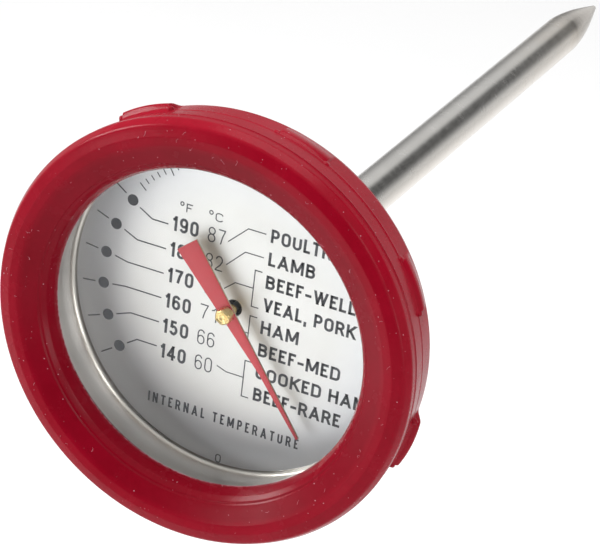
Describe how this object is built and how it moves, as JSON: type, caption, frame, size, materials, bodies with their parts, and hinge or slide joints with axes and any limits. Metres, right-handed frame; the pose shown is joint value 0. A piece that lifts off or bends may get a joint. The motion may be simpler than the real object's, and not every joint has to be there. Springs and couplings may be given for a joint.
{
  "type": "meat thermometer",
  "caption": "Dial meat thermometer: a round steel case in a red silicone boot, a bimetal-driven pointer under glass, and a pointed stem.",
  "frame": {"origin": "on the stem's axis, where the stem's full diameter meets the collar behind the case", "axes": "+Y along the stem to its point, the dial faces -Y, and +Z is 12 o'clock on the dial"},
  "size_m": [0.0592, 0.1518, 0.0592],
  "materials": {
    "red_silicone": "satin moulded silicone",
    "case_steel": "drawn stainless sheet, satin",
    "lens_glass": "clear flat tempered glass",
    "gasket_rubber": "matt black",
    "polished_steel": "polished stainless",
    "dial_aluminium": "satin anodised, printed dark grey",
    "pointer_paint": "red enamel, satin",
    "hub_brass": "turned brass",
    "inner_steel": "plain machined",
    "guide_plastic_dark": "black bearing plastic",
    "guide_plastic": "natural bearing plastic",
    "bimetal_strip": "rolled bimetal strip",
    "stem_steel": "fine polished stainless"
  },
  "bodies": {
    "housing": {"silicone_boot": "red_silicone", "case_cup": "case_steel", "bezel_rim": "case_steel", "lens": "lens_glass", "lens_gasket": "gasket_rubber", "spacer_ring": "polished_steel", "dial_plate": "dial_aluminium", "upper_guide": "guide_plastic_dark", "middle_guide": "guide_plastic", "lower_guide": "guide_plastic", "bimetal_coil": "bimetal_strip", "coil_anchor": "inner_steel", "stem_tube": "stem_steel", "stem_tip": "stem_steel", "stem_collar": "case_steel", "stem_washer": "inner_steel"},
    "needle": {"pointer": "pointer_paint", "pointer_hub": "hub_brass", "spindle": "inner_steel", "coil_hub": "inner_steel"}
  },
  "joints": [
    {"name": "pointer_turn", "type": "hinge", "parent": "housing", "child": "needle", "pos_m": [0, 0, 0], "axis": [0, 1, 0], "range_deg": [-51, 194], "stiffness_Nm_per_rad": 0.0001, "deforming": ["bimetal_coil"]}
  ]
}
